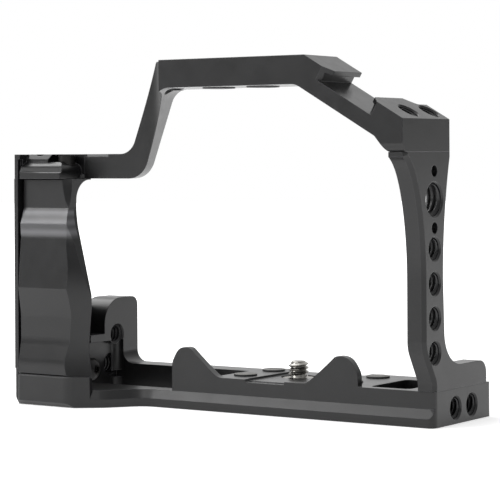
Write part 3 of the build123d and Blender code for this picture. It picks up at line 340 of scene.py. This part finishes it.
def thread_tree():
    """A screw thread's ridge, wound along Z and set in each hole: a point of the input is a hole's mouth, and
    its attribute 'into' the way that the hole runs. The ridge tapers away at both ends."""
    tree = bpy.data.node_groups.new("thread_ridge", "GeometryNodeTree")
    sockets = tree.interface
    sockets.new_socket("Mouths", in_out="INPUT", socket_type="NodeSocketGeometry")
    for name in ("Outer radius", "Inner radius", "Pitch", "Turns", "Start", "Outer width", "Inner width"):
        sockets.new_socket(name, in_out="INPUT", socket_type="NodeSocketFloat")
    sockets.new_socket("Finish", in_out="INPUT", socket_type="NodeSocketMaterial")
    sockets.new_socket("Threads", in_out="OUTPUT", socket_type="NodeSocketGeometry")
    given = add(tree, "NodeGroupInput").outputs

    def maths(kind, a, b):
        return add(tree, "ShaderNodeMath", {0: a, 1: b}, operation=kind).outputs[0]

    middle = maths("MULTIPLY", maths("ADD", given["Outer radius"], given["Inner radius"]), 0.5)
    rise = maths("SUBTRACT", given["Outer radius"], given["Inner radius"])
    height = maths("MULTIPLY", given["Turns"], given["Pitch"])
    coil = add(tree, "GeometryNodeCurveSpiral",
               {"Resolution": 40, "Rotations": given["Turns"], "Start Radius": middle, "End Radius": middle,
                "Height": height, "Reverse": True})
    upright = add(tree, "GeometryNodeSetCurveNormal", {"Curve": coil.outputs["Curve"]}, mode="Z_UP")
    along = add(tree, "GeometryNodeSplineParameter").outputs["Factor"]
    off_middle = add(tree, "ShaderNodeMath", {0: maths("SUBTRACT", along, 0.5)}, operation="ABSOLUTE")
    to_end = maths("SUBTRACT", 0.5, off_middle.outputs[0])
    turns_to_end = maths("MULTIPLY", to_end, given["Turns"])
    taper = add(tree, "ShaderNodeMapRange", {"Value": turns_to_end, "From Min": 0.0, "From Max": 0.35,
                                             "To Min": 0.12, "To Max": 1.0}).outputs["Result"]
    tooth = add(tree, "GeometryNodeCurvePrimitiveQuadrilateral",
                {"Height": rise, "Bottom Width": given["Outer width"], "Top Width": given["Inner width"],
                 "Offset": 0.0}, mode="TRAPEZOID")
    turned = add(tree, "GeometryNodeTransform", {"Geometry": tooth.outputs["Curve"],
                                                 "Rotation": (0.0, 0.0, TOOTH_TURN)})
    ridge = add(tree, "GeometryNodeCurveToMesh", {"Curve": upright.outputs["Curve"], "Scale": taper,
                                                  "Profile Curve": turned.outputs["Geometry"],
                                                  "Fill Caps": True})
    sunk = add(tree, "ShaderNodeCombineXYZ", {"Z": given["Start"]})
    placed = add(tree, "GeometryNodeTransform", {"Geometry": ridge.outputs["Mesh"], "Translation": sunk.outputs[0]})
    into = add(tree, "GeometryNodeInputNamedAttribute", {"Name": "into"}, data_type="FLOAT_VECTOR")
    aim = add(tree, "FunctionNodeAlignRotationToVector", {"Vector": into.outputs["Attribute"]}, axis="Z")
    points = add(tree, "GeometryNodeMeshToPoints", {"Mesh": given["Mouths"]})
    copies = add(tree, "GeometryNodeInstanceOnPoints",
                 {"Points": points.outputs["Points"], "Instance": placed.outputs["Geometry"],
                  "Rotation": aim.outputs["Rotation"]})
    real = add(tree, "GeometryNodeRealizeInstances", {"Geometry": copies.outputs["Instances"]})
    finished = add(tree, "GeometryNodeSetMaterial", {"Geometry": real.outputs["Geometry"],
                                                     "Material": given["Finish"]})
    add(tree, "NodeGroupOutput", {0: finished.outputs["Geometry"]})
    return tree


THREADS = thread_tree()


def wind_threads(mouths, outer, inner, pitch, length, start, material, outer_share=0.86, inner_share=0.2):
    """The mesh of one kind of thread at several mouths, each given as (point, direction into the hole). The
    shares say how wide the ridge is, in pitches, at its outer and its inner radius."""
    mesh = bpy.data.meshes.new("mouths")
    mesh.from_pydata([[c * MM for c in point] for point, _ in mouths], [], [])
    into = mesh.attributes.new("into", "FLOAT_VECTOR", "POINT")
    for i, (_, direction) in enumerate(mouths):
        into.data[i].vector = direction
    holder = bpy.data.objects.new("mouths", mesh)
    bpy.context.scene.collection.objects.link(holder)
    wound = holder.modifiers.new("threads", "NODES")
    wound.node_group = THREADS
    sizes = {"Outer radius": outer * MM, "Inner radius": inner * MM, "Pitch": pitch * MM, "Turns": length / pitch,
             "Start": start * MM, "Outer width": outer_share * pitch * MM,
             "Inner width": inner_share * pitch * MM, "Finish": material}
    for socket in THREADS.interface.items_tree:
        if socket.in_out == "INPUT" and socket.name in sizes:
            wound[socket.identifier] = sizes[socket.name]
    graph = bpy.context.evaluated_depsgraph_get()
    result = bpy.data.meshes.new_from_object(holder.evaluated_get(graph))
    bpy.data.objects.remove(holder)
    return result


def joined(name, meshes, material):
    """Several meshes as one, with faces outwards."""
    bm = bmesh.new()
    for mesh in meshes:
        bm.from_mesh(mesh)
        bpy.data.meshes.remove(mesh)
    return mesh_from(bm, name, material, 40)


def hole_threads(mouths, depth, wall=QUARTER_RADIUS, pitch=QUARTER_PITCH, through=False):
    """Thread inside tapped holes: from just under the chamfer to near the bottom, or to the other chamfer."""
    start = MOUTH_CHAMFER + HOLE_RUN_IN * pitch
    length = depth - start - (start if through else BLIND_END)
    return wind_threads(mouths, wall + RIDGE_SINK, wall - RIDGE_HEIGHT * pitch, pitch, length, start, THREAD_SKIN)


def build_threads():
    inward = (-1, 0, 0)
    column = [
        hole_threads([((COLUMN_FACE, COLUMN_HOLE_Y, z), inward) for z in COLUMN_QUARTER_Z], COLUMN_THICKNESS,
                     through=True),
        hole_threads([((COLUMN_FACE, COLUMN_HOLE_Y, COLUMN_EIGHTHS_Z), inward)], COLUMN_THICKNESS, EIGHTHS_RADIUS,
                     EIGHTHS_PITCH, through=True),
    ]
    new_piece("column_threads", joined("column_threads", column, THREAD_SKIN), "cage", "black_anodised")
    base = [
        hole_threads([(mouth, inward) for mouth in END_HOLES], END_DEPTH),
        hole_threads([(LUG_UPPER, inward)], LUG_UPPER_DEPTH),
        hole_threads([(LUG_LOWER, inward)], LUG_LOWER_DEPTH),
    ]
    new_piece("base_threads", joined("base_threads", base, THREAD_SKIN), "cage", "black_anodised")
    bridge = [
        hole_threads([(mouth, SLOPE_IN) for mouth in SLOPE_HOLES], SLOPE_DEPTH),
        hole_threads([(CREST_HOLE, (0, 0, -1))], CREST_DEPTH),
    ]
    new_piece("bridge_threads", joined("bridge_threads", bridge, THREAD_SKIN), "cage", "black_anodised")


# ---- Captive camera screw ----

def build_camera_screw():
    """Large flat head with a coin slot, neck with the clip's groove, and the cut thread."""
    bm = bmesh.new()
    lathe(bm, SCREW_PROFILE, SCREW_AXIS)
    holder = bpy.data.objects.new("screw_body", mesh_from(bm, "screw_body", SCREW_STEEL))
    slot_place = Matrix.Translation((SCREW_AXIS[0] * MM, SCREW_AXIS[1] * MM, SCREW_HEAD_LOW * MM))
    slot_turn = Matrix.Rotation(math.radians(COIN_SLOT_TURN), 4, "Z")
    slot_size = Matrix.Diagonal([side * MM for side in COIN_SLOT] + [1])
    cutter_bm = bmesh.new()
    bmesh.ops.create_cube(cutter_bm, size=1.0, matrix=slot_place @ slot_turn @ slot_size)
    cutter_mesh = bpy.data.meshes.new("slot_cutter")
    cutter_bm.to_mesh(cutter_mesh)
    cutter_bm.free()
    cutter = bpy.data.objects.new("slot_cutter", cutter_mesh)
    for thing in (holder, cutter):
        bpy.context.scene.collection.objects.link(thing)
    cut = holder.modifiers.new("slot", "BOOLEAN")
    cut.operation, cut.object, cut.solver = "DIFFERENCE", cutter, "EXACT"
    graph = bpy.context.evaluated_depsgraph_get()
    slotted = bpy.data.meshes.new_from_object(holder.evaluated_get(graph))
    bpy.data.objects.remove(holder)
    bpy.data.objects.remove(cutter)
    axis_point = (SCREW_AXIS[0], SCREW_AXIS[1], SCREW_THREAD_LOW)
    crest = wind_threads([(axis_point, (0, 0, 1))], QUARTER_RADIUS, SCREW_ROOT - 0.08, QUARTER_PITCH,
                         SCREW_THREAD_LENGTH, 0.3, SCREW_STEEL, outer_share=0.12, inner_share=0.94)
    new_piece("camera_screw_turned", joined("camera_screw_turned", [slotted, crest], SCREW_STEEL), "screw",
              "bright_steel", "camera_screw")


# ---- Round pads ----

def discs_of(mesh):
    """The separate round solids in a mesh, as (x, y, radius) in mm, from left to right."""
    bm = bmesh.new()
    bm.from_mesh(mesh)
    bmesh.ops.remove_doubles(bm, verts=bm.verts, dist=0.01 * MM)
    discs, left = [], set(bm.verts)
    while left:
        queue = [left.pop()]
        found = list(queue)
        while queue:
            for vert in (v for edge in queue.pop().link_edges for v in edge.verts):
                if vert in left:
                    left.remove(vert)
                    queue.append(vert)
                    found.append(vert)
        xs, ys = [v.co.x for v in found], [v.co.y for v in found]
        place = round(min(xs), 4), min(ys)
        disc = (max(xs) + min(xs)) / 2 / MM, (max(ys) + min(ys)) / 2 / MM, (max(xs) - min(xs)) / 2 / MM
        discs.append((place, disc))
    bm.free()
    return [disc for _, disc in sorted(discs)]


def build_pads():
    """Moulded pads with a rounded rim, a shallow groove inside it and a slightly domed middle."""
    for name, node, top_up in (("base_pads_moulded", "base_pads", True),
                               ("bridge_pads_moulded", "bridge_pads", False)):
        low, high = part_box(node)
        z_low, z_high = low[2] / MM, high[2] / MM
        rise = z_high - z_low
        bm = bmesh.new()
        for x, y, radius in discs_of(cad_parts[node].data):
            section = [(0, 0)] + [(radius - inset, share * rise) for inset, share in PAD_RIM]
            section += [(PAD_MIDDLE * radius, rise), (0, rise)]
            lathe(bm, [(r, z_low + h if top_up else z_high - h) for r, h in section], (x, y))
        new_piece(name, mesh_from(bm, name, PAD_RUBBER, 50), "cage", "pad_rubber", node)


# ---- Finishes of the solids that stay ----

FINISHES = {
    "base_plate": BASE_SKIN, "top_bridge": SHADED_BRIDGE_SKIN, "side_column": COLUMN_SKIN, "hand_grip": GRIP_SKIN,
    "grip_side_plate": PLATE_SKIN, "screw_retaining_clip": CLIP_STRIP, "column_foot_screws": FOOT_OXIDE,
    "grip_foot_screws": FOOT_OXIDE, "grip_head_screws": GRIP_OXIDE, "column_grub_screws": SMALL_OXIDE,
    "side_plate_screws": SMALL_OXIDE, "shoe_stop_screw": SMALL_OXIDE, "lug_button_screw": BUTTON_OXIDE,
    "grip_dowels": DOWEL_STEEL,
}


def build_looks():
    for node, material in FINISHES.items():
        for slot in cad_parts[node].material_slots:
            slot.material = material


# ---- Floor, light and camera ----

def build_floor():
    """A white matt table. To the camera and in reflections it also glows, more the farther out, so that it
    runs into the white behind it."""
    bm = bmesh.new()
    bmesh.ops.create_circle(bm, cap_ends=True, radius=FLOOR_RADIUS, segments=96)
    bmesh.ops.translate(bm, verts=bm.verts, vec=(0, 0, -FLOOR_DROP))
    mesh = bpy.data.meshes.new("floor")
    bm.to_mesh(mesh)
    bm.free()
    floor = bpy.data.objects.new("floor", mesh)
    bpy.context.scene.collection.objects.link(floor)
    made = bpy.data.materials.new("white_table")
    made.use_nodes = True
    tree = made.node_tree
    tree.nodes.clear()
    matt = add(tree, "ShaderNodeBsdfDiffuse", {"Color": colour("#f2f2f2")})
    path = add(tree, "ShaderNodeLightPath").outputs
    seen = add(tree, "ShaderNodeMath", {0: path["Is Camera Ray"], 1: path["Is Glossy Ray"]},
               operation="MAXIMUM").outputs[0]
    far = add(tree, "ShaderNodeVectorMath", {0: add(tree, "ShaderNodeTexCoord").outputs["Object"]},
              operation="LENGTH")
    sweep = add(tree, "ShaderNodeMapRange", {"Value": far.outputs["Value"], "From Min": 0.15, "From Max": 0.6,
                                             "To Min": 0.5, "To Max": 1.0}).outputs["Result"]
    lift = add(tree, "ShaderNodeMath", {0: seen, 1: sweep}, operation="MULTIPLY").outputs[0]
    glow = add(tree, "ShaderNodeEmission", {"Color": (1, 1, 1, 1), "Strength": lift})
    both = add(tree, "ShaderNodeAddShader", {0: matt.outputs[0], 1: glow.outputs[0]})
    add(tree, "ShaderNodeOutputMaterial", {"Surface": both.outputs[0]})
    mesh.materials.append(made)


def build_world():
    """White behind the cage, and a dim room on the side where one stands to look at it."""
    world = bpy.data.worlds.new("studio")
    bpy.context.scene.world = world
    world.use_nodes = True
    tree = world.node_tree
    tree.nodes.clear()
    way = add(tree, "ShaderNodeTexCoord").outputs["Generated"]
    back = add(tree, "ShaderNodeVectorMath", {0: way, 1: (-0.56, 0.83, 0.15)},
               operation="DOT_PRODUCT").outputs["Value"]
    wall = add(tree, "ShaderNodeMapRange", {"Value": back, "From Min": 0.45, "From Max": 0.8},
               interpolation_type="SMOOTHSTEP")
    path = add(tree, "ShaderNodeLightPath").outputs
    mirrored = add(tree, "ShaderNodeMath", {0: path["Is Glossy Ray"], 1: wall.outputs["Result"]},
                   operation="MULTIPLY").outputs[0]
    clear = add(tree, "ShaderNodeMath", {0: path["Is Camera Ray"], 1: path["Is Transmission Ray"]},
                operation="MAXIMUM").outputs[0]
    white = add(tree, "ShaderNodeMath", {0: mirrored, 1: clear}, operation="MAXIMUM").outputs[0]
    height = add(tree, "ShaderNodeSeparateXYZ", {0: way}).outputs["Z"]
    room = add(tree, "ShaderNodeMapRange", {"Value": height, "From Min": 0.0, "From Max": 0.9, "To Min": 0.16,
                                            "To Max": 0.7})
    dim = add(tree, "ShaderNodeBackground", {"Color": (1, 1, 1, 1), "Strength": room.outputs["Result"]})
    bright = add(tree, "ShaderNodeBackground", {"Color": (1, 1, 1, 1), "Strength": 1.0})
    both = add(tree, "ShaderNodeMixShader", {0: white, 1: dim.outputs[0], 2: bright.outputs[0]})
    add(tree, "ShaderNodeOutputWorld", {"Surface": both.outputs[0]})


SOFTBOXES = (         # name, place, the point it faces, width and height in metres, watts
    ("overhead", (-0.6, 0.2, 0.85), (0, 0, 0.05), (0.6, 0.8), 4.0),
    ("front_top", (-0.15, -0.6, 0.85), (0, 0, 0.05), (0.9, 0.45), 2.4),
    ("left_front", (-0.62, -0.72, 0.5), (0, 0, 0.04), (0.4, 0.4), 3.2),
)


def softbox(name, place, aim, size, power):
    lamp = bpy.data.lights.new(name, "AREA")
    lamp.shape, lamp.size, lamp.size_y, lamp.energy = "RECTANGLE", size[0], size[1], power
    box = bpy.data.objects.new(name, lamp)
    bpy.context.scene.collection.objects.link(box)
    box.location = place
    box.rotation_euler = (Vector(aim) - Vector(place)).to_track_quat("-Z", "Y").to_euler()


CAMERA_PLACE = (0.35685, -0.5243, 0.0782)
CAMERA_AZIMUTH, CAMERA_ROLL = math.radians(34.04), -0.00524
SENSOR_MM, LENS_MM, LENS_SHIFT = 36.0, 147.1, -0.1846


def build_camera():
    """A level camera whose lens is shifted down instead of tilted, so upright edges stay upright."""
    lens = bpy.data.cameras.new("camera")
    lens.sensor_width, lens.lens = SENSOR_MM, LENS_MM
    lens.shift_y = LENS_SHIFT
    lens.clip_start, lens.clip_end = 0.02, 50
    camera = bpy.data.objects.new("camera", lens)
    bpy.context.scene.collection.objects.link(camera)
    level = Matrix.Rotation(CAMERA_AZIMUTH, 4, "Z") @ Matrix.Rotation(math.radians(90), 4, "X")
    camera.matrix_world = Matrix.Translation(CAMERA_PLACE) @ (level @ Matrix.Rotation(CAMERA_ROLL, 4, "Z"))
    bpy.context.scene.camera = camera


build_threads()
build_camera_screw()
build_pads()
build_looks()
build_floor()
build_world()
for box in SOFTBOXES:
    softbox(*box)
build_camera()
bpy.context.scene.view_settings.view_transform = "Standard"
